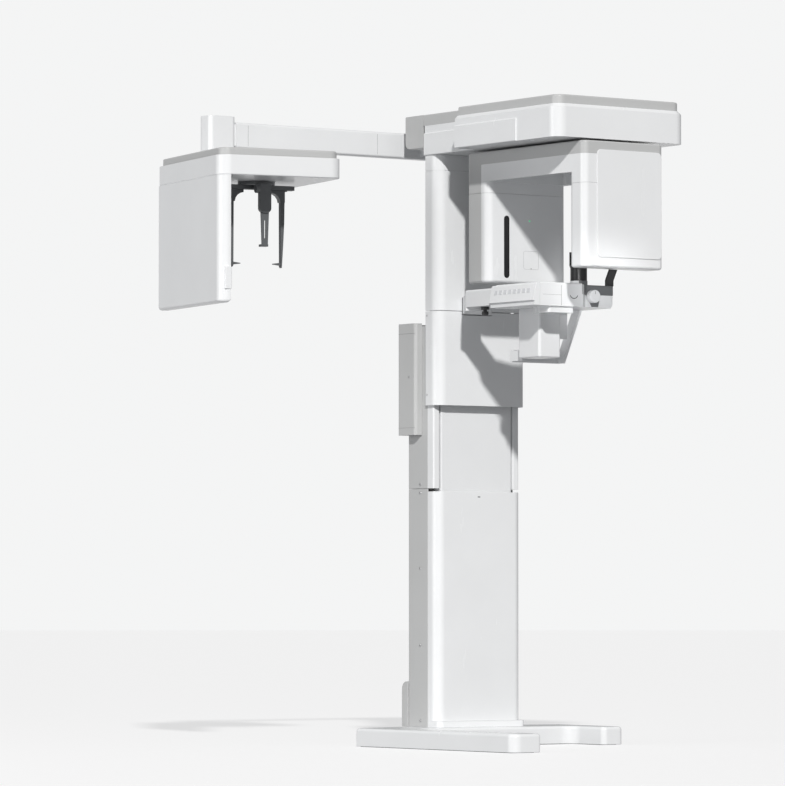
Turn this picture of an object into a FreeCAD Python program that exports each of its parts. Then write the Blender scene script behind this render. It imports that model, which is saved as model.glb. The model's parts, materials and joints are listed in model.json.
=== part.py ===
import FreeCAD, Part
import os
import Sketcher

# Panoramic x-ray machine with a cephalostat arm.
# Millimetres, +Z up, +X to the machine's right as the patient's back sees it, front towards -Y.
# Origin: on the floor, in the middle of the column. "f" values are distances forward of it (-Y).

SIZES = [
    # base
    ("base_half", 457),
    ("base_top", 66),
    ("base_rear", 100),
    ("long_leg_front", 900),
    ("leg_width", 120),
    ("short_leg_front", 340),
    ("short_leg_inner", 365),
    ("bay_back", 155),
    ("base_wall", 8),
    ("plate_thick", 10),
    ("anchor_radius", 7),
    # column
    ("column_half", 190),
    ("column_rear", 88),
    ("column_front", 34),
    ("sheet_wall", 4),
    ("plinth_top", 88),
    ("plinth_front", 105),
    ("frame_seam", 918),
    ("frame_top", 1500),
    ("lower_cover_top", 907),
    ("lower_cover_front", 90),
    ("trim_inner", 162),
    ("trim_front", 70),
    ("spine_half", 157),
    ("spine_front", 70),
    ("spine_bottom", 700),
    ("rail_offset", 100),
    ("rod_radius", 15),
    ("fit_gap", 0.05),
    ("tube_top", 860),
    ("moving_half", 200),
    ("moving_front", 108),
    ("moving_bottom", 1214),
    ("moving_seam", 1552),
    ("groove_z", 2052),
    ("box_half", 220),
    ("box_rear", 110),
    ("box_bottom", 1110),
    ("box_top", 1510),
    # overhead unit
    ("head_bottom", 2110),
    ("head_half", 285),
    ("head_rear", 330),
    ("head_front", 920),
    ("head_band_top", 2226),
    ("neck_half", 200),
    ("neck_rear", 30),
    ("neck_top", 2217),
    ("cheek_high", 80),
    ("cheek_front", 690),
    ("machine_top", 2257),
    ("block_rear", 88),
    ("lid_inset", 13),
    # rotating unit
    ("axis_f", 595),
    ("rotor_half", 176),
    ("rotor_rear", 258),
    ("rotor_front", 932),
    ("rotor_top", 2102),
    ("rotor_cap", 2057),
    ("arch_bottom", 1996),
    ("leg_seam", 1956),
    ("rotor_wall", 8),
    ("detector_split", 338),
    ("detector_face", 375),
    ("shell_corner", 24),
    ("detector_corner", 28),
    ("detector_bottom", 1640),
    ("tube_face", 845),
    ("tube_bottom", 1665),
    ("hub_radius", 45),
    ("disc_radius", 100),
    ("wheel_radius", 15),
    ("beam_offset", 90),
    # patient support
    ("table_low", 1541),
    ("table_high", 1623),
    ("table_front", 720),
    ("table_rear", 462),
    ("table_left", 205),
    ("table_right", 148),
    ("table_right_low", 120),
    ("recess_f", 700),
    ("arm_outer", 216),
    ("arm_low", 1553),
    ("arm_high", 1613),
    ("seat_z", 1585),
    ("collar_top", 1640),
    ("chin_x", 60),
    ("chin_radius", 29.5),
    ("stem_radius", 20),
    ("knob_x", 30),
    ("knob_z", 1579),
    ("spindle_radius", 4),
    ("temple_reach", 63.5),
    ("temple_flare", 35),
    ("knob_radius", 22.5),
    ("handle_half", 106),
    ("stop_x", 170),
    ("stop_f", 353),
    ("stop_radius", 12),
    # cephalostat
    ("ceph_x", -1152.5),
    ("ceph_f", -247),
    ("ceph_turn", -11),
    ("ceph_wide", 460),
    ("ceph_deep", 565),
    ("ceph_under", 1973),
    ("ceph_band", 2042),
    ("ceph_top", 2068),
    ("plate_corner", 45),
    ("cassette_wide", 40),
    ("cassette_corner", 36),
    ("cassette_bottom", 1535),
    ("ear_x", 245),
    ("ear_f", 300),
    ("ear_reach", 95),
    ("ear_gap", 60),
    ("rod_low", 1676),
    ("nasion_ahead", 75),
    ("post_x", -963),
    ("post_f", -160),
    ("post_top", 2223),
    ("boom_low", 2115),
    ("boom_high", 2206),
    ("boom_front", -150),
]

doc = FreeCAD.newDocument("panoramic_xray")
sheet = doc.addObject("Spreadsheet::Sheet", "Dims")
for row, (alias, number) in enumerate(SIZES):
    sheet.set("A%d" % (row + 1), alias)
    sheet.set("B%d" % (row + 1), str(number))
    sheet.setAlias("B%d" % (row + 1), alias)
doc.recompute()


class Size:
    """A length that carries its sheet expression and its present number together."""

    def __init__(self, text, number):
        self.text = text
        self.number = float(number)

    def __add__(self, other):
        other = as_size(other)
        return Size("(%s + %s)" % (self.text, other.text), self.number + other.number)

    def __sub__(self, other):
        other = as_size(other)
        return Size("(%s - %s)" % (self.text, other.text), self.number - other.number)

    def __mul__(self, other):
        other = as_size(other)
        return Size("(%s * %s)" % (self.text, other.text), self.number * other.number)

    def __truediv__(self, other):
        other = as_size(other)
        return Size("(%s / %s)" % (self.text, other.text), self.number / other.number)

    def __radd__(self, other):
        return as_size(other) + self

    def __rsub__(self, other):
        return as_size(other) - self

    def __neg__(self):
        return Size("(0 - %s)" % self.text, -self.number)


def as_size(value):
    if isinstance(value, Size):
        return value
    return Size("(%.4f)" % value, value)


class Names:
    pass


d = Names()
for alias, number in SIZES:
    setattr(d, alias, Size("Dims." + alias, number))

UPRIGHT = FreeCAD.Rotation()
ALONG_X = FreeCAD.Rotation(FreeCAD.Vector(0, 1, 0), 90)
ALONG_F = FreeCAD.Rotation(FreeCAD.Vector(1, 0, 0), 90)
TURNS = {"z": UPRIGHT, "x": ALONG_X, "f": ALONG_F}


def bind(obj, prop, size):
    obj.setExpression(prop, as_size(size).text)


def place(obj, turn, x, f, z):
    obj.Placement = FreeCAD.Placement(FreeCAD.Vector(0, 0, 0), turn)
    bind(obj, "Placement.Base.x", x)
    bind(obj, "Placement.Base.y", -as_size(f))
    bind(obj, "Placement.Base.z", z)


def box(x0, x1, f0, f1, z0, z1):
    obj = doc.addObject("Part::Box", "block")
    bind(obj, "Length", as_size(x1) - x0)
    bind(obj, "Width", as_size(f1) - f0)
    bind(obj, "Height", as_size(z1) - z0)
    place(obj, UPRIGHT, x0, f1, z0)
    return obj


def rod(axis, x, f, z, radius, length):
    obj = doc.addObject("Part::Cylinder", "round")
    bind(obj, "Radius", radius)
    bind(obj, "Height", length)
    place(obj, TURNS[axis], x, f, z)
    return obj


def cone(axis, x, f, z, radius, radius_end, length):
    obj = doc.addObject("Part::Cone", "taper")
    bind(obj, "Radius1", radius)
    bind(obj, "Radius2", radius_end)
    bind(obj, "Height", length)
    place(obj, TURNS[axis], x, f, z)
    return obj


def join(*parts):
    obj = doc.addObject("Part::MultiFuse", "joined")
    obj.Shapes = list(parts)
    obj.Refine = True
    return obj


def cut(body, *tools):
    obj = doc.addObject("Part::Cut", "cut")
    obj.Base = body
    obj.Tool = tools[0] if len(tools) == 1 else join(*tools)
    return obj


def group(parts):
    obj = doc.addObject("Part::Compound", "set")
    obj.Links = list(parts)
    return obj


PLANE_TURN = {
    "plan": UPRIGHT,
    "front": ALONG_F,
    "side": FreeCAD.Rotation(FreeCAD.Vector(1, 1, 1), 120),
}


def outline(plane, points):
    """Closed sketch through the points: plan (x, -f), front (x, z) or side (-f, z)."""
    sketch = doc.addObject("Sketcher::SketchObject", "outline")
    pairs = [(as_size(u), as_size(v)) for u, v in points]
    count = len(pairs)
    for index in range(count):
        u0, v0 = pairs[index]
        u1, v1 = pairs[(index + 1) % count]
        start = FreeCAD.Vector(u0.number, v0.number, 0)
        finish = FreeCAD.Vector(u1.number, v1.number, 0)
        sketch.addGeometry(Part.LineSegment(start, finish), False)
    for index in range(count):
        link = Sketcher.Constraint("Coincident", index, 2, (index + 1) % count, 1)
        sketch.addConstraint(link)
    for index in range(count):
        for kind, size in zip(("DistanceX", "DistanceY"), pairs[index]):
            number = sketch.addConstraint(Sketcher.Constraint(kind, -1, 1, index, 1, size.number))
            sketch.setExpression("Constraints[%d]" % number, size.text)
    sketch.Placement = FreeCAD.Placement(FreeCAD.Vector(0, 0, 0), PLANE_TURN[plane])
    return sketch


def prism(plane, points, start, length):
    sketch = outline(plane, points)
    if plane == "plan":
        bind(sketch, "Placement.Base.z", start)
    if plane == "front":
        bind(sketch, "Placement.Base.y", -as_size(start))
    if plane == "side":
        bind(sketch, "Placement.Base.x", start)
    obj = doc.addObject("Part::Extrusion", "prism")
    obj.Base = sketch
    obj.DirMode = "Normal"
    obj.Solid = True
    bind(obj, "LengthFwd", length)
    return obj


def plan(points, z0, z1):
    return prism("plan", [(x, -as_size(f)) for x, f in points], z0, as_size(z1) - z0)


def front(points, f0, f1):
    return prism("front", points, f0, as_size(f1) - f0)


def side(points, x0, x1):
    return prism("side", [(-as_size(f), z) for f, z in points], x0, as_size(x1) - x0)


def runs(edge, axis):
    """True when a straight edge lies along the axis: 0 is X, 1 is Y, 2 is Z."""
    if not isinstance(edge.Curve, Part.Line):
        return False
    way = edge.Vertexes[-1].Point - edge.Vertexes[0].Point
    return abs(abs(way[axis]) - way.Length) < 1e-6


def soften_by(body, radius_of, kind="Part::Fillet"):
    """Round or bevel each edge by the radius that the rule gives it; 0 leaves it sharp."""
    doc.recompute()
    limits = body.Shape.BoundBox
    picked = []
    for index, edge in enumerate(body.Shape.Edges):
        radius = float(radius_of(edge, limits))
        if radius:
            picked.append((index + 1, radius, radius))
    obj = doc.addObject(kind, "soft")
    obj.Base = body
    obj.Edges = picked
    doc.recompute()
    return obj


def soften(body, radius, chosen, kind="Part::Fillet"):
    """Round or bevel the edges that the test picks."""
    return soften_by(body, lambda edge, limits: radius if chosen(edge, limits) else 0, kind)


def middle(edge):
    return edge.BoundBox.Center


def uprights(edge, limits):
    return runs(edge, 2)


def front_uprights(edge, limits):
    return runs(edge, 2) and middle(edge).y < limits.YMin + 1


def rear_uprights(edge, limits):
    return runs(edge, 2) and middle(edge).y > limits.YMax - 1


def top_rim(edge, limits):
    return edge.BoundBox.ZMin > limits.ZMax - 0.01


def under_rim(edge, limits):
    return edge.BoundBox.ZMax < limits.ZMin + 0.01


def open_top_rim(edge, limits):
    """Top edges without the rear one."""
    return top_rim(edge, limits) and middle(edge).y < limits.YMax - 1


def every(edge, limits):
    return True


def rounded_box(x0, x1, f0, f1, z0, z1, radius, chosen=uprights):
    return soften(box(x0, x1, f0, f1, z0, z1), radius, chosen)


def cased(x0, x1, f0, f1, z0, z1, front_radius, rear_radius):
    """Block with one radius on its front uprights and another on its rear ones."""
    def radius_of(edge, limits):
        if front_uprights(edge, limits):
            return front_radius
        if rear_uprights(edge, limits):
            return rear_radius
        return 0
    return soften_by(box(x0, x1, f0, f1, z0, z1), radius_of)


made = []


def keep(obj, label, x=0, f=0, turn=0):
    """Name a finished sub-part and seat it, turned about its own upright axis where needed."""
    obj.Label = label
    if turn:
        obj.Placement = FreeCAD.Placement(
            FreeCAD.Vector(0, 0, 0), FreeCAD.Rotation(FreeCAD.Vector(0, 0, 1), as_size(turn).number))
        bind(obj, "Placement.Base.x", x)
        bind(obj, "Placement.Base.y", -as_size(f))
    made.append(obj)
    return obj


def keep_ceph(obj, label):
    return keep(obj, label, d.ceph_x, d.ceph_f, d.ceph_turn)


# ---------------------------------------------------------------- base and fixed column


def base_corner(edge, limits):
    """Corner radius by place: rear 14, front of the long leg 36, of the short leg 20, bay 50."""
    if not runs(edge, 2):
        return 0
    at = middle(edge)
    if at.y > -1:
        return 14
    if at.y < limits.YMin + 1:
        return 36 if at.x < limits.XMin + 1 else 14
    return 20 if at.y < -d.short_leg_front.number + 1 else 50


def base_cover():
    inner_leg = d.leg_width - d.base_half
    slab = plan([
        (-d.base_half, -34),
        (-d.column_half - 10, -d.base_rear),
        (d.column_half + 10, -d.base_rear),
        (d.base_half, -34),
        (d.base_half, d.short_leg_front),
        (d.short_leg_inner, d.short_leg_front),
        (d.short_leg_inner, d.bay_back),
        (inner_leg, d.bay_back),
        (inner_leg, d.long_leg_front),
        (-d.base_half, d.long_leg_front),
    ], 2, d.base_top)
    slab = soften_by(slab, base_corner)
    slab = soften(slab, 12, top_rim)
    wall = d.base_wall
    high = d.base_top - wall
    low = 1
    long_leg = box(wall - d.base_half, inner_leg - wall, -20, d.long_leg_front - 20, low, high)
    cross = box(wall - d.base_half, d.base_half - wall, -20, d.bay_back - wall, low, high)
    short_leg = box(d.short_leg_inner + wall, d.base_half - wall, -20, d.short_leg_front - 20, low, high)
    heel = box(-d.column_half, d.column_half, wall - d.base_rear, 0, low, high)
    pier = box(-151, 151, -81, 81, low, d.base_top + 1)
    keep(cut(slab, long_leg, cross, short_leg, heel, pier), "base_cover")


def base_plate():
    inset = d.base_wall + 3
    inner_leg = d.leg_width - d.base_half
    long_leg = box(inset - d.base_half, inner_leg - inset, -18, d.long_leg_front - 30, 0, d.plate_thick)
    cross = box(inset - d.base_half, d.base_half - inset, -18, d.bay_back - inset, 0, d.plate_thick)
    short_leg = box(
        d.short_leg_inner + inset, d.base_half - inset, -18, d.short_leg_front - 30, 0, d.plate_thick)
    heel = box(3 - d.column_half, d.column_half - 3, inset - d.base_rear, 0, 0, d.plate_thick)
    holes = []
    for x in (-170, 170):
        for f in (-60, 110):
            holes.append(rod("z", x, f, -1, d.anchor_radius, d.plate_thick + 2))
    keep(cut(join(long_leg, cross, short_leg, heel), *holes), "base_plate")


def plinth():
    pier = box(-150, 150, -80, 80, d.plate_thick, d.base_top + 2)
    seat = box(-70, 70, 0, d.column_front + 1, d.base_top, d.plinth_top)
    cap = rounded_box(
        -d.column_half, d.column_half + 5, d.column_front, d.plinth_front, d.base_top, d.plinth_top,
        20, front_uprights)
    keep(join(pier, seat, cap), "plinth")


def channel(low, high, label):
    wall = d.sheet_wall
    outer = rounded_box(
        -d.column_half, d.column_half, -d.column_rear, d.column_front, low, high, 10, rear_uprights)
    inner = rounded_box(
        wall - d.column_half, d.column_half - wall, wall - d.column_rear, d.column_front + 1,
        low - 1, high + 1, 6, rear_uprights)
    keep(cut(outer, inner), label)


def lower_front_cover():
    wall = d.sheet_wall
    outer = rounded_box(
        -d.column_half, d.column_half, d.column_front, d.lower_cover_front,
        d.plinth_top, d.lower_cover_top, 35, front_uprights)
    inner = rounded_box(
        wall - d.column_half, d.column_half - wall, d.column_front - 1, d.lower_cover_front - wall,
        d.plinth_top - 1, d.lower_cover_top + 1, 31, front_uprights)
    keep(cut(outer, inner), "lower_front_cover")


def side_trims():
    strips = []
    right = box(d.trim_inner, d.column_half, d.column_front, d.trim_front, d.frame_seam, d.frame_top)
    left = box(-d.column_half, -d.trim_inner, d.column_front, d.trim_front, d.frame_seam, d.frame_top)
    strips.append(soften(right, 6, front_uprights))
    strips.append(soften(left, 6, front_uprights))
    keep(group(strips), "side_trims")


def guide_rails():
    rails = []
    back = d.sheet_wall - d.column_rear
    for way in (-1, 1):
        x = d.rail_offset * way
        rails.append(box(x - 10, x + 10, back, back + 20, d.plinth_top + 12, d.frame_top - 10))
    keep(group(rails), "guide_rails")


def lift_tube():
    motor = rounded_box(-60, 60, 8, 62, d.plinth_top, d.plinth_top + 82, 12)
    tube = rod("z", 0, 35, d.plinth_top, 24, d.tube_top - d.plinth_top)
    bore = rod("z", 0, 35, d.plinth_top + 22, d.rod_radius + d.fit_gap, d.tube_top)
    keep(cut(join(motor, tube), bore), "lift_tube")


def rear_bracket():
    block = box(-d.column_half, d.column_half, -125, -d.column_rear, d.base_top, 228)
    block = soften(
        block, 28, lambda e, b: runs(e, 0) and middle(e).z > b.ZMax - 1 and middle(e).y > b.YMax - 1)
    hollow = box(6 - d.column_half, d.column_half - 6, -110, 1 - d.column_rear, d.base_top - 1, 205)
    keep(cut(block, hollow), "rear_bracket")


def electronics_box():
    wall = d.sheet_wall
    outer = rounded_box(-d.box_half, d.box_half, -d.box_rear, 0, d.box_bottom, d.box_top, 12)
    inner = box(
        wall - d.box_half, d.box_half - wall, wall - d.box_rear, -wall,
        d.box_bottom + wall, d.box_top - wall)
    way = box(
        -d.column_half - 0.5, d.column_half + 0.5, -d.column_rear - 0.5, 1,
        d.box_bottom - 1, d.box_top + 1)
    rocker_hole = box(d.box_half - 5, d.box_half + 1, -68.5, -51.5, 1160, 1190)
    lugs = []
    for f in (-72.5, -50.8):
        lugs.append(box(d.box_half - 13, d.box_half - wall + 0.5, f, f + 3.3, 1168, 1182))
    pin_bore = rod("f", d.box_half - 8, -75, 1175, 2 + d.fit_gap, 30)
    keep(cut(join(cut(outer, inner, way, rocker_hole), *lugs), pin_bore), "electronics_box")


def control_board():
    back = d.sheet_wall - d.box_rear
    board = box(-150, 150, back + 3, back + 5, 1160, 1460)
    parts = [board]
    for x in (-120, 108):
        for z in (1170, 1440):
            parts.append(box(x, x + 12, back, back + 3.5, z, z + 12))
    for x in (-120, -20, 70):
        parts.append(box(x, x + 50, back + 4.5, back + 13, 1200, 1260))
    parts.append(box(-100, 60, back + 4.5, back + 10, 1320, 1400))
    keep(join(*parts), "control_board")


def mains_rocker():
    face = d.box_half
    shape = front([
        (face - 6, 1163), (face + 3, 1163), (face + 1, 1175), (face + 3, 1187), (face - 6, 1187),
        (face - 11, 1178), (face - 11, 1172),
    ], -67, -53)
    pin = rod("f", face - 8, -72, 1175, 2, 24)
    keep(join(shape, pin), "mains_rocker")


def frame_screws():
    screws = []
    for z in (89, 358, 633, 903, 933):
        screws.append(rod("x", -d.column_half - 2.5, -10, z, 5, 2.5))
        screws.append(rod("x", d.column_half, -10, z, 5, 2.5))
    keep(group(screws), "frame_screws")


# ---------------------------------------------------------------- lifting carriage


def inner_column():
    wall = d.sheet_wall
    outer = rounded_box(
        -d.spine_half, d.spine_half, 0, d.spine_front, d.spine_bottom, d.head_bottom, 6, front_uprights)
    inner = box(
        wall - d.spine_half, d.spine_half - wall, wall, d.spine_front - wall,
        d.spine_bottom - 1, d.head_bottom - 12)
    keep(cut(outer, inner), "inner_column")


def bearing_blocks():
    blocks = []
    back = d.sheet_wall - d.column_rear
    for way in (-1, 1):
        for z in (750, 1270):
            x = d.rail_offset * way
            block = box(x - 26, x + 26, back + 6, 0, z, z + 80)
            groove = box(x - 10.3, x + 10.3, back + 5, back + 20.3, z - 1, z + 81)
            blocks.append(cut(block, groove))
    keep(group(blocks), "bearing_blocks")


def lift_rod():
    stem = rod("z", 0, 35, d.spine_bottom + 22, d.rod_radius, 1490 - d.spine_bottom - 22)
    wall = d.sheet_wall
    bridge = box(wall - d.spine_half, d.spine_half - wall, wall, d.spine_front - wall, 1482, 1502)
    keep(join(stem, bridge), "lift_rod")


def moving_cover(low, high, rib_z, label):
    outer = rounded_box(
        -d.moving_half, d.moving_half, d.column_front, d.moving_front, low, high, 40, front_uprights)
    inner = rounded_box(
        5 - d.moving_half, d.moving_half - 5, d.column_front - 1, d.moving_front - 5,
        low - 1, high + 1, 35, front_uprights)
    skin = cut(outer, inner)
    ribs = [box(-140, 140, d.spine_front, d.moving_front - 4, z, z + 6) for z in rib_z]
    passage = box(-92, 42, d.spine_front - 1, d.moving_front + 1, d.table_low - 2.5, 1601.5)
    around = box(
        -d.moving_half - 1, d.moving_half + 1, d.column_front - 2, d.moving_front + 1,
        d.groove_z, d.groove_z + 2)
    core = rounded_box(
        1.5 - d.moving_half, d.moving_half - 1.5, d.column_front - 3, d.moving_front - 1.5,
        d.groove_z - 1, d.groove_z + 3, 38, front_uprights)
    keep(cut(join(skin, *ribs), passage, cut(around, core)), label)


def top_plate():
    plate = box(-150, 150, d.neck_rear + 5, d.head_front - 30, d.head_bottom + 4, d.head_bottom + 12)
    rails = []
    for way in (-1, 1):
        x = d.rail_offset * way * 1.15
        rails.append(box(
            x - 6, x + 6, d.axis_f - 120, d.axis_f + 170, d.head_bottom + 11, d.head_bottom + 24))
    window = box(-58, 58, d.axis_f - 75, d.axis_f + 75, d.head_bottom, d.head_bottom + 14)
    keep(cut(join(plate, *rails), window), "top_plate")


def cheek(half, f0, f1):
    """Pair of low side swellings of the overhead housing."""
    low = d.head_bottom
    pair = []
    for way in (-1, 1):
        centre = (half - 3) * way
        slab = box(centre - 7, centre + 7, f0, f1, low, low + d.cheek_high)
        pair.append(soften(slab, 3.5, lambda e, b: runs(e, 1) and abs(middle(e).x) > half.number + 3))
    return pair


def top_housing():
    low = d.head_bottom
    wide = rounded_box(
        -d.head_half, d.head_half, d.head_rear, d.head_front, low, d.head_band_top, 45, front_uprights)
    wide = soften(wide, 12, open_top_rim, "Part::Chamfer")
    neck = box(-d.neck_half, d.neck_half, d.neck_rear, d.head_rear + 20, low, d.neck_top)
    cheeks = cheek(d.head_half, d.head_rear + 1, d.cheek_front)
    cheeks += cheek(d.neck_half, d.neck_rear, d.head_rear)
    wide_hollow = rounded_box(
        4 - d.head_half, d.head_half - 4, d.head_rear + 4, d.head_front - 4,
        low + 4, d.head_band_top - 10, 41, front_uprights)
    neck_hollow = box(
        4 - d.neck_half, d.neck_half - 4, d.neck_rear + 4, d.head_rear + 50, low + 4, d.neck_top - 4)
    mouth = box(
        30 - d.head_half, d.head_half - 30, d.head_rear + 45, d.head_front - 30,
        low + 50, d.machine_top)
    window = box(-58, 58, d.axis_f - 75, d.axis_f + 75, low - 1, low + 5)
    body = join(wide, neck, *cheeks)
    keep(cut(body, wide_hollow, neck_hollow, mouth, window), "top_housing")


def top_lid():
    inset = d.lid_inset
    wide = rounded_box(
        inset - d.head_half, d.head_half - inset, d.head_rear + 2, d.head_front - inset,
        d.head_band_top, d.machine_top, 34, front_uprights)
    wide = soften(wide, 6, open_top_rim)
    hollow = box(
        inset + 30 - d.head_half, d.head_half - inset - 30, d.head_rear + 60, d.head_front - 60,
        d.head_band_top - 1, d.machine_top - 4)
    neck = box(-d.neck_half, d.neck_half, d.neck_rear - 8, d.head_rear - 1, d.neck_top, d.machine_top)
    neck = soften(neck, 5, lambda e, b: runs(e, 1) and middle(e).z > b.ZMax - 1)
    neck_hollow = box(
        8 - d.neck_half, d.neck_half - 8, d.neck_rear, d.head_rear - 10, d.neck_top - 1, d.machine_top - 4)
    bridge = box(
        -150, 150, d.head_rear - 12, d.head_rear + 35, d.head_band_top + 0.5, d.machine_top - 3)
    keep(cut(join(wide, neck, bridge), hollow, neck_hollow), "top_lid")


def low_rear(edge, limits):
    return runs(edge, 0) and middle(edge).z < limits.ZMin + 1 and middle(edge).y > limits.YMax - 1


def high_rear(edge, limits):
    return runs(edge, 0) and middle(edge).z > limits.ZMax - 1 and middle(edge).y > limits.YMax - 1


def rear_block():
    low = d.head_bottom + 30
    outer = box(-d.neck_half, d.neck_half, -d.block_rear, d.neck_rear - 9, low, d.machine_top)
    outer = soften(outer, 24, low_rear)
    outer = soften(outer, 5, high_rear)
    inner = box(
        4 - d.neck_half, d.neck_half - 4, 6 - d.block_rear, d.neck_rear - 8,
        low + 4, d.machine_top - 5)
    inner = soften(inner, 19, low_rear)
    beam = box(-90, 90, -80, d.neck_rear - 9, low + 3, low + 30)
    keep(join(cut(outer, inner), beam), "rear_block")


# ---------------------------------------------------------------- rotation drive in the overhead unit


def turn_carriage():
    low = d.head_bottom + 16
    plate = rounded_box(-140, 140, d.axis_f - 95, d.axis_f + 165, low, low + 11, 10)
    boss = rod("z", 0, d.axis_f, low - 2, 62, 20)
    grooves = []
    for way in (-1, 1):
        x = d.rail_offset * way * 1.15
        grooves.append(box(x - 6.3, x + 6.3, d.axis_f - 100, d.axis_f + 170, low - 1, low + 8.4))
    bore = rod("z", 0, d.axis_f, low - 5, 60, 30)
    keep(cut(join(plate, boss), bore, *grooves), "turn_carriage")


def spindle_bearing():
    low = d.head_bottom + 16
    ring = rod("z", 0, d.axis_f, low - 2, 60, 24)
    bore = rod("z", 0, d.axis_f, low - 3, d.hub_radius + d.fit_gap, 30)
    keep(cut(ring, bore), "spindle_bearing")


def wheel_f():
    return d.axis_f + d.disc_radius + d.wheel_radius + 0.4


def turn_motor():
    low = d.head_bottom + 27
    post = box(-30, 30, wheel_f() + 24, wheel_f() + 34, low, low + 40)
    shelf = box(-30, 30, wheel_f() - 26, wheel_f() + 34, low + 34, low + 40)
    motor = rod("z", 0, wheel_f(), low + 34, 25, 38)
    bore = rod("z", 0, wheel_f(), low + 30, 4 + d.fit_gap, 24)
    keep(cut(join(post, shelf, motor), bore), "turn_motor")


def drive_wheel():
    low = d.head_bottom + 38
    wheel = rod("z", 0, wheel_f(), low, d.wheel_radius, 16)
    shaft = rod("z", 0, wheel_f(), low, 4, 34)
    keep(join(wheel, shaft), "drive_wheel")


# ---------------------------------------------------------------- rotating unit


def rotor_hub():
    shaft = rod("z", 0, d.axis_f, d.rotor_top - 8, d.hub_radius, d.head_bottom - d.rotor_top + 48)
    disc = rod("z", 0, d.axis_f, d.head_bottom + 38.5, d.disc_radius, 12)
    bore = rod("z", 0, d.axis_f, d.rotor_top - 10, 26, 90)
    keep(cut(join(shaft, disc), bore), "rotor_hub")


def rotor_frame():
    beam = box(-110, 110, d.rotor_rear + 42, d.rotor_front - 14, d.rotor_cap + 5, d.rotor_top - 8)
    rear = box(-100, 100, d.rotor_rear + 42, d.rotor_rear + 50, 1720, d.rotor_cap + 7)
    fore = box(-100, 100, d.rotor_front - 20, d.rotor_front - 14, 1720, d.rotor_cap + 7)
    light = box(-80, 80, d.rotor_rear + 80, d.axis_f - 60, d.rotor_cap, d.rotor_top)
    other = box(-80, 80, d.axis_f + 60, d.rotor_front - 60, d.rotor_cap, d.rotor_top)
    keep(cut(join(beam, rear, fore), light, other), "rotor_frame")


def inner_corner(outer, wall):
    """Radius that keeps the wall even round a corner of the outer radius."""
    return (outer - wall).number


def rotor_cover():
    """Grey top layer of the rotating unit with the back of its detector leg."""
    wall = d.rotor_wall
    layer = cased(
        -d.rotor_half, d.rotor_half, d.rotor_rear, d.rotor_front, d.rotor_cap, d.rotor_top,
        d.shell_corner.number, 10)
    back = rounded_box(
        -d.rotor_half, d.rotor_half, d.rotor_rear, d.detector_split,
        d.leg_seam + 0.5, d.rotor_cap + 20, 10, rear_uprights)
    outer = soften(join(layer, back), 6, top_rim)
    layer_space = rounded_box(
        wall - d.rotor_half, d.rotor_half - wall, d.rotor_rear + wall, d.rotor_front - wall,
        d.rotor_cap - 1, d.rotor_top - 5, inner_corner(d.shell_corner, wall), front_uprights)
    back_space = box(
        wall - d.rotor_half, d.rotor_half - wall, d.rotor_rear + wall, d.detector_split + 1,
        d.leg_seam, d.rotor_cap)
    hole = rod("z", 0, d.axis_f, d.rotor_top - 10, d.hub_radius + 1, 20)
    keep(cut(outer, layer_space, back_space, hole), "rotor_cover")


def arch_cover():
    """White arch of the rotating unit, down to the seams of its two legs."""
    wall = d.rotor_wall
    band = rounded_box(
        -d.rotor_half, d.rotor_half, d.detector_split, d.rotor_front,
        d.arch_bottom, d.rotor_cap, d.shell_corner.number, front_uprights)
    rear_leg = rounded_box(
        -d.rotor_half, d.rotor_half, d.detector_split, d.detector_face,
        d.leg_seam + 0.5, d.arch_bottom + 1, d.detector_corner.number, front_uprights)
    fore_leg = rounded_box(
        -d.rotor_half, d.rotor_half, d.tube_face, d.rotor_front,
        d.leg_seam + 0.5, d.arch_bottom + 1, d.shell_corner.number)
    ceiling = rounded_box(
        wall - d.rotor_half, d.rotor_half - wall, d.detector_split - 1, d.rotor_front - wall,
        d.rotor_cap - 13, d.rotor_cap + 1, inner_corner(d.shell_corner, wall), front_uprights)
    pocket = rounded_box(
        12 - d.rotor_half, d.rotor_half - 12, d.detector_face + 4, d.tube_face - 4,
        d.arch_bottom - 1, d.rotor_cap - 17, 14)
    rear_space = rounded_box(
        10 - d.rotor_half, d.rotor_half - 10, d.detector_split - 1, d.detector_face - 4,
        d.leg_seam, d.rotor_cap, inner_corner(d.detector_corner, 4), front_uprights)
    fore_space = rounded_box(
        wall - d.rotor_half, d.rotor_half - wall, d.tube_face + 4, d.rotor_front - wall,
        d.leg_seam, d.rotor_cap, inner_corner(d.shell_corner, 4))
    keep(cut(join(band, rear_leg, fore_leg), ceiling, pocket, rear_space, fore_space), "arch_cover")


def low_side_edges(edge, limits):
    return runs(edge, 1) and middle(edge).z < limits.ZMin + 1


def detector_rear():
    outer = rounded_box(
        -d.rotor_half, d.rotor_half, d.rotor_rear, d.detector_split,
        d.detector_bottom, d.leg_seam, 10, rear_uprights)
    outer = soften(outer, 10, low_side_edges)
    inner = box(
        6 - d.rotor_half, d.rotor_half - 6, d.rotor_rear + 6, d.detector_split + 1,
        d.detector_bottom + 6, d.leg_seam + 1)
    keep(cut(outer, inner), "detector_rear")


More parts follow.
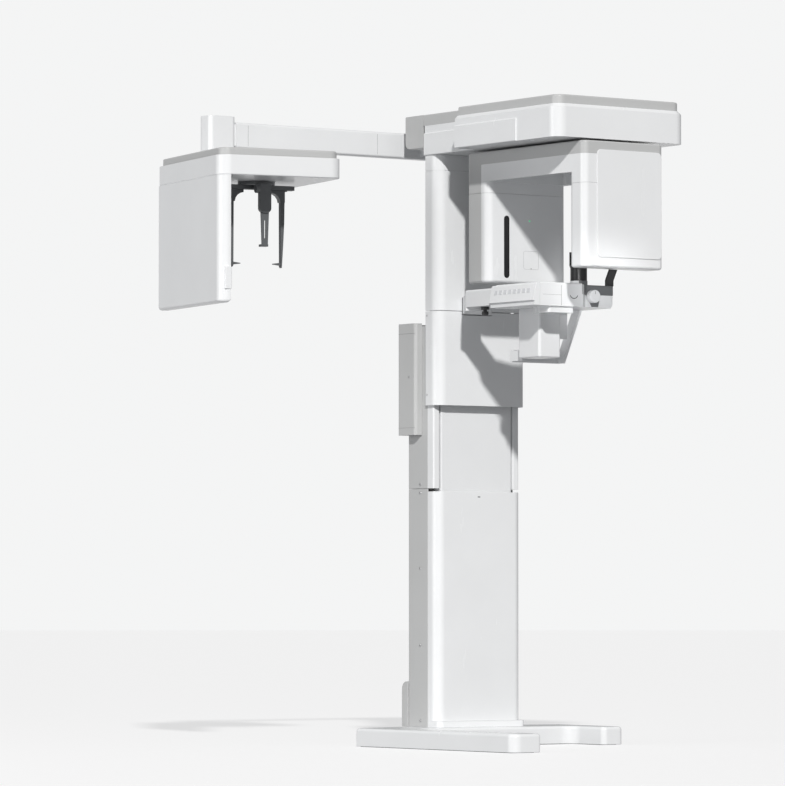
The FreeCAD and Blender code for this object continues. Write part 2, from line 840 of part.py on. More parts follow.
def detector_front():
    outer = rounded_box(
        -d.rotor_half, d.rotor_half, d.detector_split, d.detector_face,
        d.detector_bottom, d.leg_seam, d.detector_corner.number, front_uprights)
    outer = soften(outer, 10, low_side_edges)
    inner = rounded_box(
        10 - d.rotor_half, d.rotor_half - 10, d.detector_split - 1, d.detector_face - 4,
        d.detector_bottom + 6, d.leg_seam + 1, inner_corner(d.detector_corner, 4), front_uprights)
    slot = rounded_box(
        -d.beam_offset - 12.5, 12.5 - d.beam_offset, d.detector_split + 5, d.detector_face + 1,
        d.detector_bottom + 17, d.detector_bottom + 238, 12,
        lambda e, b: runs(e, 1))
    keep(cut(outer, inner, slot), "detector_front")


def detector_sensor():
    case = rounded_box(
        46 - d.rotor_half, 40 - d.beam_offset, d.rotor_rear + 51, d.detector_face - 6,
        d.detector_bottom + 8, d.detector_bottom + 250, 4)
    keep(case, "detector_sensor")


def tube_shell():
    outer = rounded_box(
        -d.rotor_half, d.rotor_half, d.tube_face, d.rotor_front, d.tube_bottom, d.leg_seam,
        d.shell_corner.number)
    outer = soften(outer, 10, under_rim)
    inner = rounded_box(
        8 - d.rotor_half, d.rotor_half - 8, d.tube_face + 4, d.rotor_front - 8,
        d.tube_bottom + 6, d.leg_seam + 1, inner_corner(d.shell_corner, 4))
    port = box(
        d.beam_offset - 12, d.beam_offset + 12, d.tube_face - 1, d.tube_face + 5,
        d.tube_bottom + 30, d.tube_bottom + 200)
    keep(cut(outer, inner, port), "tube_shell")


def front_panel():
    plate = rounded_box(
        -119, 161, d.rotor_front, d.rotor_front + 3.5, 1700, 2072, 15, lambda e, b: runs(e, 1))
    plate = soften(plate, 1.5, lambda e, b: e.BoundBox.YMax < b.YMin + 0.01)
    keep(plate, "front_panel")


def xray_tank():
    tank = rounded_box(
        106 - d.rotor_half, d.rotor_half - 26, d.tube_face + 18, d.rotor_front - 21,
        d.tube_bottom + 10, d.tube_bottom + 270, 20)
    snout = box(
        d.beam_offset - 30, d.beam_offset + 30, d.tube_face + 5, d.tube_face + 20,
        d.tube_bottom + 20, d.tube_bottom + 210)
    slit = box(
        d.beam_offset - 4, d.beam_offset + 4, d.tube_face + 4, d.tube_face + 30,
        d.tube_bottom + 40, d.tube_bottom + 190)
    keep(cut(join(tank, snout), slit), "xray_tank")


# ---------------------------------------------------------------- patient support


def table_arm():
    root = plan([
        (-90, d.spine_front),
        (-90, d.moving_front + 2),
        (-d.arm_outer, 300),
        (-150, 338),
        (-20, d.moving_front + 20),
        (40, d.moving_front + 2),
        (40, d.spine_front),
    ], d.table_low, 1600)
    reach = box(-d.arm_outer, -150, 299, d.table_rear, d.arm_low, d.arm_high)
    reach = soften(reach, 8, lambda e, b: runs(e, 1) and middle(e).z > b.ZMax - 1)
    keep(join(root, reach), "table_arm")


def table_points():
    return [
        (-d.table_left, d.table_rear),
        (-d.table_left, d.table_front),
        (-17, d.table_front),
        (8, d.recess_f),
        (d.table_right - 20, d.recess_f),
        (d.table_right, d.recess_f - 25),
        (d.table_right, 500),
        (d.table_right - 20, 480),
        (-100, 480),
        (-150, d.table_rear),
    ]


def seat_points(gap):
    """Outline of the L-shaped bay round the chin post, grown by the gap on its inner sides."""
    return [
        (-19.5 - gap, 632 - gap),
        (-19.5 - gap, d.table_front - 1 + gap * 4),
        (7, d.recess_f + gap * 4),
        (d.table_right - 21 + gap * 2, d.recess_f + gap * 4),
        (d.table_right - 1 + gap * 4, d.recess_f - 25),
        (d.table_right - 1 + gap * 4, 506 - gap),
        (96 - gap, 506 - gap),
        (96 - gap, d.axis_f - 33 - gap),
        (d.chin_x - 18 - gap, d.axis_f - 33 - gap),
        (d.chin_x - 18 - gap, 632 - gap),
    ]


def chin_bore():
    return rod("z", d.chin_x, d.axis_f, d.table_low + 15, d.stem_radius + d.fit_gap, 200)


def chin_collar(low):
    return rod("z", d.chin_x, d.axis_f, low, 31, d.collar_top - low)


def spindle_bore():
    return rod(
        "f", d.knob_x, d.axis_f - 68, d.knob_z, d.spindle_radius + d.fit_gap, d.table_front - d.axis_f + 80)


def nut_span(way):
    """Front and rear faces of the nut on one side of the chin post, at rest."""
    centre = d.axis_f + d.temple_reach * way
    return centre - 8, centre + 8


def paddle_right(way):
    """Right-hand face of a temple paddle; the rear one stands inboard, behind the chin post."""
    return d.table_right + (15 if way > 0 else -18)


def table_body():
    slab = plan(table_points(), d.table_low, d.table_high)
    slab = soften(slab, 8, lambda e, b: uprights(e, b) and middle(e).x > 20)
    slab = soften(slab, 5, top_rim)
    step = rounded_box(-160, -50, 612, 712, d.table_low - 22, d.table_low + 1, 10)
    ring = cut(
        chin_collar(d.table_high - 8),
        box(d.chin_x - 18.5, d.chin_x + 40, 500, 700, d.table_high - 10, d.table_high + 40))
    seat = plan(seat_points(0.5), d.seat_z, d.table_high + 30)
    slope = front([
        (d.table_right + 1, d.seat_z),
        (d.table_right_low, d.table_low - 1),
        (d.table_right + 20, d.table_low - 1),
        (d.table_right + 20, d.seat_z),
    ], 450, d.table_front + 10)
    wells = []
    for way in (-1, 1):
        f0, f1 = nut_span(way)
        well_top = d.seat_z + 17 if way < 0 else d.seat_z + 1
        wells.append(box(d.knob_x - 13, d.knob_x + 13, f0 - 9, f1 + 9, d.knob_z - 12, well_top))
    f0, f1 = nut_span(-1)
    wells.append(box(d.knob_x - 13, 97, f0 - 9, f1 + 9, d.seat_z + 2, d.seat_z + 17))
    body = join(cut(slab, seat, slope), step, ring)
    keep(cut(body, chin_bore(), spindle_bore(), *wells), "table_body")


def temple_housing():
    low = d.seat_z + 0.5
    block = plan(seat_points(0), low, d.table_high - 3)
    block = soften(block, 4, lambda e, b: top_rim(e, b) and e.BoundBox.XMax > -19)
    ring = cut(
        chin_collar(d.table_high - 8),
        box(d.chin_x - 40, d.chin_x - 18, 500, 700, d.table_high - 10, d.table_high + 40))
    tongue = front([
        (d.knob_x - 21, low),
        (d.knob_x - 21, d.table_high - 8),
        (d.knob_x + 40, d.table_high - 8),
        (d.knob_x + 40, low),
        (d.knob_x + 30, d.table_low + 2),
        (d.knob_x + 6, d.table_low + 2),
    ], d.recess_f, d.recess_f + 6)
    front_room = box(12, d.table_right - 5, 638, d.recess_f - 6, low - 1, low + 18)
    right_room = box(95, d.table_right - 5, 510, 660, low - 1, low + 18)
    f0, f1 = nut_span(1)
    side_slot = box(d.table_right - 6, d.table_right + 2, f0 - 9, f1 + 9, low - 1, low + 18)
    f0, f1 = nut_span(-1)
    roof_slot = box(
        paddle_right(-1) - 35, paddle_right(-1) + 2, f0 - 7, f1 - 2, low + 10, d.table_high + 1)
    body = join(block, ring, tongue)
    body = cut(body, front_room, right_room, chin_bore(), spindle_bore(), side_slot, roof_slot)
    keep(body, "temple_housing")


def temple_arm(way, label):
    """Temple support with its cross bar and spindle nut; way is 1 in front of the head, -1 behind."""
    inner = d.axis_f + (d.temple_reach - 3.5) * way
    outer = d.axis_f + (d.temple_reach + 3.5) * way
    flare = d.temple_flare * way
    right = paddle_right(way)
    foot = d.table_high - 0.5 if way > 0 else d.seat_z + 4
    arm = side([
        (inner, foot),
        (outer, foot),
        (outer, d.table_high + 18),
        (outer + flare, d.table_high + 78),
        (outer + flare, d.table_high + 126),
        (inner + flare, d.table_high + 126),
        (inner + flare, d.table_high + 80),
        (inner, d.table_high + 20),
    ], right - 33, right)
    low, high = (inner, outer) if way > 0 else (outer, inner)
    f0, f1 = nut_span(way)
    bar = box(d.knob_x - 10, right - 13, low, high, d.seat_z + 4, d.seat_z + 15)
    nut = box(d.knob_x - 10, d.knob_x + 10, f0, f1, d.knob_z - 9, d.seat_z + 15)
    pad_in = inner + flare
    pad_low, pad_high = (pad_in - 12, pad_in + 1) if way > 0 else (pad_in - 1, pad_in + 12)
    pad = rounded_box(
        right - 31, right - 2, pad_low, pad_high, d.table_high + 84, d.table_high + 124, 5, every)
    body = join(arm, bar, nut, pad)
    if way > 0:
        tail = box(d.table_right + 0.5, right - 3, low, high, d.seat_z + 4, d.table_high + 8)
        body = join(body, tail)
    keep(cut(body, spindle_bore()), label)


def width_knob():
    face = d.recess_f + 6.5
    cap = rod("f", d.knob_x, face, d.knob_z, d.knob_radius, 24)
    cap = soften(cap, 2.5, lambda e, b: e.BoundBox.YMax < b.YMin + 0.01)
    shaft = rod("f", d.knob_x, d.axis_f - 66, d.knob_z, d.spindle_radius, face + 4 - d.axis_f + 66)
    keep(join(cap, shaft), "width_knob")


def chin_rest():
    stem = rod("z", d.chin_x, d.axis_f, d.table_low + 25, d.stem_radius, 120)
    column = rod("z", d.chin_x, d.axis_f, d.collar_top + 0.5, d.chin_radius, 56)
    cup = cone("z", d.chin_x, d.axis_f, d.collar_top + 56, 17, 24, 32)
    dish = rod("z", d.chin_x, d.axis_f, d.collar_top + 76, 19, 20)
    keep(cut(join(stem, column, cup), dish), "chin_rest")


def chin_box():
    case = rounded_box(-125, -30, 485, 610, 1367, d.table_low, 10)
    case = soften(case, 6, under_rim)
    web = box(-31, 80, 497, 503, 1440, d.table_low)
    keep(join(case, web), "chin_box")


def handle():
    outer = d.handle_half
    strut = side([(512, d.table_low), (555, d.table_low), (456, 1358), (413, 1358)], outer - 11, outer)
    bar = rounded_box(-outer, outer, 413, 426, 1357, 1400, 5, lambda e, b: runs(e, 0))
    cheek = box(outer - 11, outer, 420, 456, 1357, 1378)
    lug = box(-outer, 11 - outer, 424, 485, 1360, 1397)
    keep(join(strut, bar, cheek, lug), "handle")


def panel_points():
    """Section of the sloping panel: its thick face above, an undercut and a thin lip below."""
    return [
        (-222, 1619),
        (-235, 1558),
        (-226, 1555),
        (-226, 1553.5),
        (-229, 1552),
        (-228, 1541.5),
        (-205.5, 1541.5),
        (-205.5, 1619),
    ]


def control_panel():
    slab = front(panel_points(), d.table_rear + 1, d.table_front - 0.5)
    slab = soften(slab, 6, lambda e, b: runs(e, 1) and middle(e).z > b.ZMax - 1 and middle(e).x < -210)
    keep(slab, "control_panel")


def key_point(z, out):
    """Point on the sloping face of the control panel, or proud of it."""
    (x0, z0), (x1, z1) = panel_points()[:2]
    return x0 + (x1 - x0) * (z - z0) / (z1 - z0) - out, z


def keypad():
    keys = []
    for number in range(8):
        f0 = d.table_rear + 24 + number * 27
        keys.append(front([
            key_point(1602, 0),
            key_point(1586, 0),
            key_point(1586, 1.2),
            key_point(1602, 1.2),
        ], f0, f0 + 18))
    keep(group(keys), "keypad")


def stop_collar():
    ring = rod("z", -d.stop_x, d.stop_f, d.arm_low - 10, d.stop_radius + 3, 10)
    bore = rod("z", -d.stop_x, d.stop_f, d.arm_low - 20, 7 + d.fit_gap, 40)
    keep(cut(soften(ring, 2, under_rim), bore), "stop_collar")


def stop_button():
    head = rod("z", -d.stop_x, d.stop_f, d.arm_low - 30, d.stop_radius, 14)
    head = soften(head, 4, under_rim)
    stem = rod("z", -d.stop_x, d.stop_f, d.arm_low - 20, 7, 15)
    keep(join(head, stem), "stop_button")


# ---------------------------------------------------------------- cephalostat


def ceph_boom():
    arm = box(-890, 90, d.boom_front - 45, d.boom_front, d.boom_low, d.boom_high)
    arm = soften(arm, 8, lambda e, b: runs(e, 0))
    root = box(-90, 90, d.boom_front - 10, -d.block_rear, d.boom_low + 12, d.boom_high - 10)
    pivot = rod("z", -60, -118, d.head_bottom + 4, 24, 88)
    link = box(-915, -880, d.boom_front - 38, d.boom_front - 6, d.boom_low + 8, d.boom_high - 8)
    post = rounded_box(
        d.post_x - 55, d.post_x + 55, d.post_f - 35, d.post_f + 35, d.ceph_top, d.post_top, 16)
    keep(join(arm, root, pivot, link, post), "ceph_boom")


def ceph_plate():
    outer = cased(0, d.ceph_wide, 0, d.ceph_deep, d.ceph_under, d.ceph_band, d.plate_corner.number, 8)
    outer = soften(outer, 5, under_rim)
    inner = rounded_box(
        4, d.ceph_wide - 4, 4, d.ceph_deep - 4, d.ceph_under + 4, d.ceph_band + 1,
        inner_corner(d.plate_corner, 4), front_uprights)
    throat = box(8, d.cassette_wide - 8, 45, d.ceph_deep - 45, d.ceph_under - 1, d.ceph_under + 5)
    web = box(90, 440, 20, 140, d.ceph_under + 3, d.ceph_band)
    keep_ceph(cut(join(cut(outer, inner), web), throat), "ceph_plate")


def ceph_lid():
    lid = cased(10, d.ceph_wide - 10, 10, d.ceph_deep - 10, d.ceph_band, d.ceph_top, 35, 7)
    lid = soften(lid, 5, top_rim)
    hollow = box(30, d.ceph_wide - 30, 150, d.ceph_deep - 30, d.ceph_band - 1, d.ceph_top - 4)
    keep_ceph(cut(lid, hollow), "ceph_lid")


def front_left(edge, limits):
    return front_uprights(edge, limits) and middle(edge).x < limits.XMin + 1


def sensor_box():
    wide = d.cassette_wide
    low = d.cassette_bottom
    outer = box(0, wide, 0, d.ceph_deep, low, d.ceph_under)
    outer = soften(outer, d.cassette_corner.number, front_left)
    outer = soften(outer, 12, under_rim)
    inner = box(5, wide - 5, 5, d.ceph_deep - 5, low + 6, d.ceph_under + 1)
    inner = soften(inner, min(inner_corner(d.cassette_corner, 5), (wide - 10).number - 1), front_left)
    latch = rounded_box(
        wide - 22, wide + 3, d.ceph_deep - 26, d.ceph_deep + 3, low + 47, low + 122, 3, uprights)
    keep_ceph(cut(join(outer, latch), inner), "sensor_box")


def sensor_plate():
    edge = 10
    panel = rounded_box(
        edge, d.cassette_wide - edge, 170, 395, d.cassette_bottom + 45, d.ceph_under - 40, 4)
    hanger = box(edge + 3, d.cassette_wide - edge - 3, 250, 310, d.ceph_under - 45, d.ceph_under - 8)
    keep_ceph(join(panel, hanger), "sensor_plate")


def ear_head():
    disc = rod("z", d.ear_x, d.ear_f, d.ceph_under - 12, 65, 11.5)
    disc = soften(disc, 4, under_rim)
    bar = rounded_box(
        d.ear_x - 140, d.ear_x + 140, d.ear_f - 16, d.ear_f + 16, d.ceph_under - 26, d.ceph_under - 11, 6)
    groove = box(
        d.ear_x - 141, d.ear_x + 141, d.ear_f - 8.3, d.ear_f + 8.3,
        d.ceph_under - 21.3, d.ceph_under - 15.7)
    throat = box(
        d.ear_x - 141, d.ear_x + 141, d.ear_f - 5.3, d.ear_f + 5.3, d.ceph_under - 27, d.ceph_under - 20)
    ahead = d.ear_f + d.nasion_ahead
    neck = box(d.ear_x - 10, d.ear_x + 10, d.ear_f + 10, ahead - 6, d.ceph_under - 22, d.ceph_under - 11)
    low = d.ceph_under - 112
    slider = box(d.ear_x - 21.5, d.ear_x + 21.5, ahead - 9, ahead + 9, low, d.ceph_under - 11)
    slider = soften(slider, 16, lambda e, b: runs(e, 1) and middle(e).z < b.ZMin + 1)
    guide = box(d.ear_x - 15.3, d.ear_x + 15.3, ahead - 3.3, ahead + 3.3, low - 5, d.ceph_under - 20)
    knob = rod("x", d.ear_x - 34, ahead, d.ceph_under - 28, 16, 13)
    keep_ceph(cut(join(disc, bar, neck, slider, knob), groove, throat, guide), "ear_head")


def ear_rod(way, label):
    """Ear rod with its shoe in the rail and a curved shoulder on its inner side."""
    x = d.ear_x + d.ear_reach * way
    top = d.ceph_under - 27
    shoe = box(x - 20, x + 20, d.ear_f - 8, d.ear_f + 8, d.ceph_under - 21, d.ceph_under - 16)
    neck = box(x - 20, x + 20, d.ear_f - 5, d.ear_f + 5, top - 3, d.ceph_under - 18)
    shoulder = front([
        (x + 8 * way, top),
        (x - 42 * way, top),
        (x - 42 * way, top - 10),
        (x - 30 * way, top - 13),
        (x - 19 * way, top - 20),
        (x - 12 * way, top - 30),
        (x - 9 * way, top - 42),
        (x + 8 * way, top - 42),
    ], d.ear_f - 13, d.ear_f + 13)
    blade = front([
        (x + 8 * way, top - 40),
        (x + 7 * way, top - 110),
        (x + 3 * way, top - 190),
        (x - 2 * way, d.rod_low),
        (x - 5 * way, d.rod_low + 5),
        (x - 6 * way, top - 40),
    ], d.ear_f - 10, d.ear_f + 10)
    length = d.ear_reach - d.ear_gap
    if way > 0:
        plug = cone("x", x - length, d.ear_f, d.rod_low + 13, 1.5, 6, length)
    else:
        plug = cone("x", x, d.ear_f, d.rod_low + 13, 6, 1.5, length)
    keep_ceph(join(shoe, neck, shoulder, blade, plug), label)


def nasion_bar():
    """Nose-bridge bar: a tapered blade with a slot and a small foot, running in its slider."""
    ahead = d.ear_f + d.nasion_ahead
    blade = front([
        (d.ear_x - 15, 1925),
        (d.ear_x - 15, 1860),
        (d.ear_x - 11, 1748),
        (d.ear_x + 11, 1748),
        (d.ear_x + 15, 1860),
        (d.ear_x + 15, 1925),
    ], ahead - 3, ahead + 3)
    slit = rounded_box(
        d.ear_x - 2.5, d.ear_x + 2.5, ahead - 4, ahead + 4, 1772, 1835, 2.4, lambda e, b: runs(e, 1))
    foot = box(d.ear_x - 13, d.ear_x + 13, ahead - 22, ahead + 2, 1744, 1752)
    keep_ceph(join(cut(blade, slit), foot), "nasion_bar")


# ---------------------------------------------------------------- build and write


def build():
    base_cover()
    base_plate()
    plinth()
    channel(d.base_top, d.frame_seam - 1, "rear_frame_lower")
    channel(d.frame_seam, d.frame_top, "rear_frame_upper")
    lower_front_cover()
    side_trims()
    guide_rails()
    lift_tube()
    rear_bracket()
    electronics_box()
    control_board()
    mains_rocker()
    frame_screws()
    inner_column()
    bearing_blocks()
    lift_rod()
    moving_cover(d.moving_bottom, d.moving_seam - 1, (1522,), "moving_cover_low")
    moving_cover(d.moving_seam + 1, d.head_bottom - 0.5, (1620, 2090), "moving_cover_high")
    top_plate()
    top_housing()
    top_lid()
    rear_block()
    turn_carriage()
    spindle_bearing()
    turn_motor()
    drive_wheel()
    rotor_hub()
    rotor_frame()
    rotor_cover()
    arch_cover()
    detector_rear()
    detector_front()
    detector_sensor()
    tube_shell()
    front_panel()
    xray_tank()
    table_arm()
    table_body()
    temple_housing()
    temple_arm(1, "temple_front")
    temple_arm(-1, "temple_rear")
    width_knob()
    chin_rest()
    chin_box()
    handle()
    control_panel()
    keypad()
    stop_collar()
    stop_button()
    ceph_boom()
    ceph_plate()
    ceph_lid()
    sensor_box()
    sensor_plate()
    ear_head()
    ear_rod(-1, "ear_rod_left")
    ear_rod(1, "ear_rod_right")
    nasion_bar()


def write():
    doc.recompute()
    for obj in doc.Objects:
        if "Invalid" in obj.State or "Error" in obj.State:
            raise RuntimeError("object in error: " + obj.Label)
    os.makedirs("parts", exist_ok=True)
    for obj in made:
        if obj.Shape.isNull() or not obj.Shape.isValid() or not obj.Shape.Solids:
            raise RuntimeError("bad shape: " + obj.Label)
        obj.Shape.exportStep("parts/" + obj.Label + ".step")
        print(obj.Label, len(obj.Shape.Solids), round(obj.Shape.Volume / 1000, 1))


build()
write()
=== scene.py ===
import json
import math

import bmesh
import bpy
from mathutils import Matrix, Vector


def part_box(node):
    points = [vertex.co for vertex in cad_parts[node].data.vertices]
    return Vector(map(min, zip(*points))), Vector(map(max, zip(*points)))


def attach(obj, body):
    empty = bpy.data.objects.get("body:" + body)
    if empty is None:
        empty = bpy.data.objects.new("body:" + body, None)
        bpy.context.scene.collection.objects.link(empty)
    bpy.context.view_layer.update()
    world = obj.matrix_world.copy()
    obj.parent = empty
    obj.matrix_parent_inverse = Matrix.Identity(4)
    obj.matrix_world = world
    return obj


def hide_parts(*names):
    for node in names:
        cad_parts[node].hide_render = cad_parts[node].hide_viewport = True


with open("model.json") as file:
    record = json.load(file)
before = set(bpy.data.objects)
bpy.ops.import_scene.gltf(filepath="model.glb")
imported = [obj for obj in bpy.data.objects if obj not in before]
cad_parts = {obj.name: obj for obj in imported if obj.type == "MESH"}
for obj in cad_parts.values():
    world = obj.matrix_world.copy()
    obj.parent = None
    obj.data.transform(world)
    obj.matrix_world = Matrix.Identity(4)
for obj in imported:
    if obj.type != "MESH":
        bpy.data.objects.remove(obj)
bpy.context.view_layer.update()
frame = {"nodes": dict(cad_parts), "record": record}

NODES = frame["nodes"]
MM = 0.001
GRAIN_SCALE = 1400.0
SEAM_RISE = 0.2 * MM
EDGE = 1.2 * MM
FINE_EDGE = 0.2 * MM


# ---------------------------------------------------------------- materials


class Graph:
    """A small helper around one material's node tree."""

    def __init__(self, name):
        self.material = bpy.data.materials.new(name)
        self.material.use_nodes = True
        self.tree = self.material.node_tree
        self.shader = self.tree.nodes["Principled BSDF"]

    def add(self, kind, **sockets):
        node = self.tree.nodes.new(kind)
        for key, value in sockets.items():
            node.inputs[key.replace("_", " ")].default_value = value
        return node

    def link(self, source, target):
        self.tree.links.new(source, target)

    def set(self, **sockets):
        for key, value in sockets.items():
            self.shader.inputs[key.replace("_", " ")].default_value = value

    def place(self, stretch=(1, 1, 1)):
        where = self.add("ShaderNodeTexCoord")
        mapping = self.add("ShaderNodeMapping")
        mapping.inputs["Scale"].default_value = stretch
        self.link(where.outputs["Object"], mapping.inputs["Vector"])
        return mapping.outputs["Vector"]

    def noise(self, where, scale, detail=2.0, rough=0.5):
        node = self.add("ShaderNodeTexNoise", Scale=scale, Detail=detail, Roughness=rough)
        self.link(where, node.inputs["Vector"])
        return node.outputs["Fac"]

    def spread(self, value, low, high):
        node = self.add("ShaderNodeMapRange")
        node.inputs["From Min"].default_value = 0.3
        node.inputs["From Max"].default_value = 0.7
        node.inputs["To Min"].default_value = low
        node.inputs["To Max"].default_value = high
        self.link(value, node.inputs["Value"])
        return node.outputs["Result"]

    def tint(self, value, dark, light):
        node = self.add("ShaderNodeMix")
        node.data_type = "RGBA"
        node.inputs["A"].default_value = (*dark, 1)
        node.inputs["B"].default_value = (*light, 1)
        self.link(value, node.inputs["Factor"])
        self.link(node.outputs["Result"], self.shader.inputs["Base Color"])

    def bump(self, value, strength, distance):
        node = self.add("ShaderNodeBump", Strength=strength, Distance=distance)
        self.link(value, node.inputs["Height"])
        self.link(node.outputs["Normal"], self.shader.inputs["Normal"])


def shade(colour, factor):
    return tuple(min(1.0, channel * factor) for channel in colour)


def moulded(name, colour, rough, grain, coat=0.0, waver=0.03):
    """Moulded plastic: faint flow marks in the colour, spark-eroded grain in the bump."""
    graph = Graph(name)
    where = graph.place()
    cloud = graph.noise(where, 5.0, 3.0)
    graph.tint(graph.spread(cloud, 0.0, 1.0), shade(colour, 0.975), shade(colour, 1.01))
    streak = graph.noise(graph.place((1, 1, 0.2)), 22.0, 4.0)
    graph.link(graph.spread(streak, rough - waver, rough + waver), graph.shader.inputs["Roughness"])
    graph.bump(graph.noise(where, GRAIN_SCALE, 1.0), grain, 0.4 * MM)
    graph.set(Coat_Weight=coat, Coat_Roughness=0.12, IOR=1.47)
    return graph.material


def painted(name, colour, rough):
    """Powder-coated sheet metal with a light orange-peel skin."""
    graph = Graph(name)
    where = graph.place()
    cloud = graph.noise(where, 4.0, 2.0)
    graph.tint(graph.spread(cloud, 0.0, 1.0), shade(colour, 0.97), shade(colour, 1.015))
    peel = graph.noise(where, 420.0, 2.0, 0.4)
    graph.link(graph.spread(peel, rough - 0.04, rough + 0.05), graph.shader.inputs["Roughness"])
    graph.bump(peel, 0.12, 0.6 * MM)
    graph.set(Coat_Weight=0.15, Coat_Roughness=0.2)
    return graph.material


def brushed(name, colour, rough, stretch, strength=0.15):
    """Metal with fine drawn lines."""
    graph = Graph(name)
    lines = graph.noise(graph.place(stretch), 60.0, 6.0, 0.7)
    graph.tint(graph.spread(lines, 0.0, 1.0), shade(colour, 0.86), shade(colour, 1.05))
    graph.link(graph.spread(lines, rough - 0.06, rough + 0.1), graph.shader.inputs["Roughness"])
    graph.bump(lines, strength, 0.3 * MM)
    graph.set(Metallic=1.0)
    return graph.material


def rubbery(name, colour, rough):
    """Soft-touch rubber with a fine pebbled skin."""
    graph = Graph(name)
    where = graph.place()
    pebble = graph.add("ShaderNodeTexVoronoi", Scale=900.0)
    graph.link(where, pebble.inputs["Vector"])
    dust = graph.noise(where, 14.0, 3.0)
    graph.tint(graph.spread(dust, 0.0, 1.0), shade(colour, 0.8), shade(colour, 1.3))
    graph.link(graph.spread(dust, rough - 0.08, rough + 0.06), graph.shader.inputs["Roughness"])
    graph.bump(pebble.outputs["Distance"], 0.25, 0.4 * MM)
    return graph.material


def circuit(name):
    """Green solder mask with lighter tracks."""
    graph = Graph(name)
    where = graph.place()
    tracks = graph.add("ShaderNodeTexBrick", Scale=90.0, Mortar_Size=0.03)
    tracks.inputs["Color1"].default_value = (0.012, 0.11, 0.05, 1)
    tracks.inputs["Color2"].default_value = (0.015, 0.14, 0.06, 1)
    tracks.inputs["Mortar"].default_value = (0.05, 0.28, 0.13, 1)
    graph.link(where, tracks.inputs["Vector"])
    graph.link(tracks.outputs["Color"], graph.shader.inputs["Base Color"])
    graph.link(graph.spread(graph.noise(where, 200.0), 0.3, 0.5), graph.shader.inputs["Roughness"])
    graph.bump(tracks.outputs["Fac"], 0.2, 0.3 * MM)
    return graph.material


def glowing(name, colour, power):
    """A small diffused status light."""
    graph = Graph(name)
    where = graph.place()
    cloud = graph.noise(where, 300.0)
    graph.tint(graph.spread(cloud, 0.0, 1.0), shade(colour, 0.8), colour)
    graph.link(graph.spread(cloud, 0.25, 0.4), graph.shader.inputs["Roughness"])
    graph.set(Emission_Color=(*colour, 1), Emission_Strength=power)
    return graph.material


def backdrop(name, colour):
    """Studio paper with a little light of its own, so it stays pale under a soft shadow."""
    graph = Graph(name)
    cloud = graph.noise(graph.place(), 0.6)
    graph.tint(graph.spread(cloud, 0.0, 1.0), shade(colour, 0.995), colour)
    graph.set(Roughness=0.8, Emission_Color=(1.0, 1.0, 1.0, 1), Emission_Strength=0.60)
    return graph.material


WHITE = moulded("white_shell", (0.80, 0.81, 0.82), 0.27, 0.02, coat=0.1, waver=0.004)
WHITE_PAINT = painted("white_paint", (0.78, 0.79, 0.80), 0.34)
GREY = moulded("grey_shell", (0.50, 0.505, 0.505), 0.40, 0.05, waver=0.015)
GREY_PAINT = painted("grey_paint", (0.50, 0.505, 0.505), 0.42)
DARK = moulded("dark_plastic", (0.13, 0.135, 0.14), 0.42, 0.08)
MID = moulded("mid_plastic", (0.105, 0.11, 0.115), 0.40, 0.06)
CHARCOAL = moulded("charcoal_plastic", (0.03, 0.03, 0.032), 0.36, 0.06)
BLACK = moulded("black_plastic", (0.012, 0.012, 0.013), 0.38, 0.10)
# Painted shade: this dark sheet material stands for the shade inside vents, slots, screw sockets and
# the finger recess, and also draws the knob's pointer mark.
PAINTED_SHADE_AND_MARK = rubbery("seam_shadow", (0.10, 0.10, 0.105), 0.8)
SEAM_SOFT = rubbery("seam_pale", (0.30, 0.30, 0.305), 0.7)
STEEL = brushed("steel", (0.60, 0.60, 0.61), 0.32, (1, 12, 12))
CHROME = brushed("chrome_rod", (0.78, 0.78, 0.79), 0.14, (1, 1, 30), 0.05)
ALLOY = brushed("alloy", (0.66, 0.665, 0.67), 0.38, (1, 10, 1))
PRIMER = painted("floor_steel", (0.09, 0.09, 0.095), 0.5)
BOARD = circuit("board")
RUBBER = rubbery("rubber_wheel", (0.03, 0.03, 0.03), 0.75)
PAD = rubbery("pad_rubber", (0.045, 0.047, 0.05), 0.68)
KEY = moulded("key_plastic", (0.64, 0.65, 0.67), 0.45, 0.05)
GREEN_LIGHT = glowing("status_light", (0.16, 0.62, 0.34), 0.6)

FRAME_SCREW_HEIGHTS = (0.089, 0.358, 0.633, 0.903, 0.933)
TABLE_SEAM_X = -0.1118

SLOT_MATERIALS = {
    "white_shell": WHITE,
    "white_alloy": WHITE_PAINT,
    "grey_shell": GREY,
    "grey_paint": GREY_PAINT,
    "dark_plastic": DARK,
    "black_plastic": BLACK,
    "steel": STEEL,
    "chrome_rod": CHROME,
    "alloy": ALLOY,
    "floor_steel": PRIMER,
    "board": BOARD,
    "rubber_wheel": RUBBER,
    "mid_plastic": MID,
    "charcoal_plastic": CHARCOAL,
    "key_plastic": KEY,
}
EDGE_WIDTHS = {"moving_cover_high": FINE_EDGE, "side_trims": FINE_EDGE}
SLOT_OF = {part["node"]: part["material_slot"] for part in frame["record"]["subparts"]}
BODY_OF = {
    node: body
    for body, names in frame["record"]["behaviour"]["bodies"].items()
    for node in names
}


# ---------------------------------------------------------------- mesh tools


def new_object(name, mesh, material):
    obj = bpy.data.objects.new(name, mesh)
    bpy.context.scene.collection.objects.link(obj)
    mesh.materials.clear()
    mesh.materials.append(material)
    return obj


def applied(obj):
    """Bake the object's modifiers into its mesh."""
    depsgraph = bpy.context.evaluated_depsgraph_get()
    baked = bpy.data.meshes.new_from_object(obj.evaluated_get(depsgraph))
    obj.modifiers.clear()
    obj.data = baked


def smooth(obj):
    """Shade the object smooth, with its hard edges kept sharp."""
    for face in obj.data.polygons:
        face.use_smooth = True
    obj.data.set_sharp_from_angle(angle=math.radians(40))


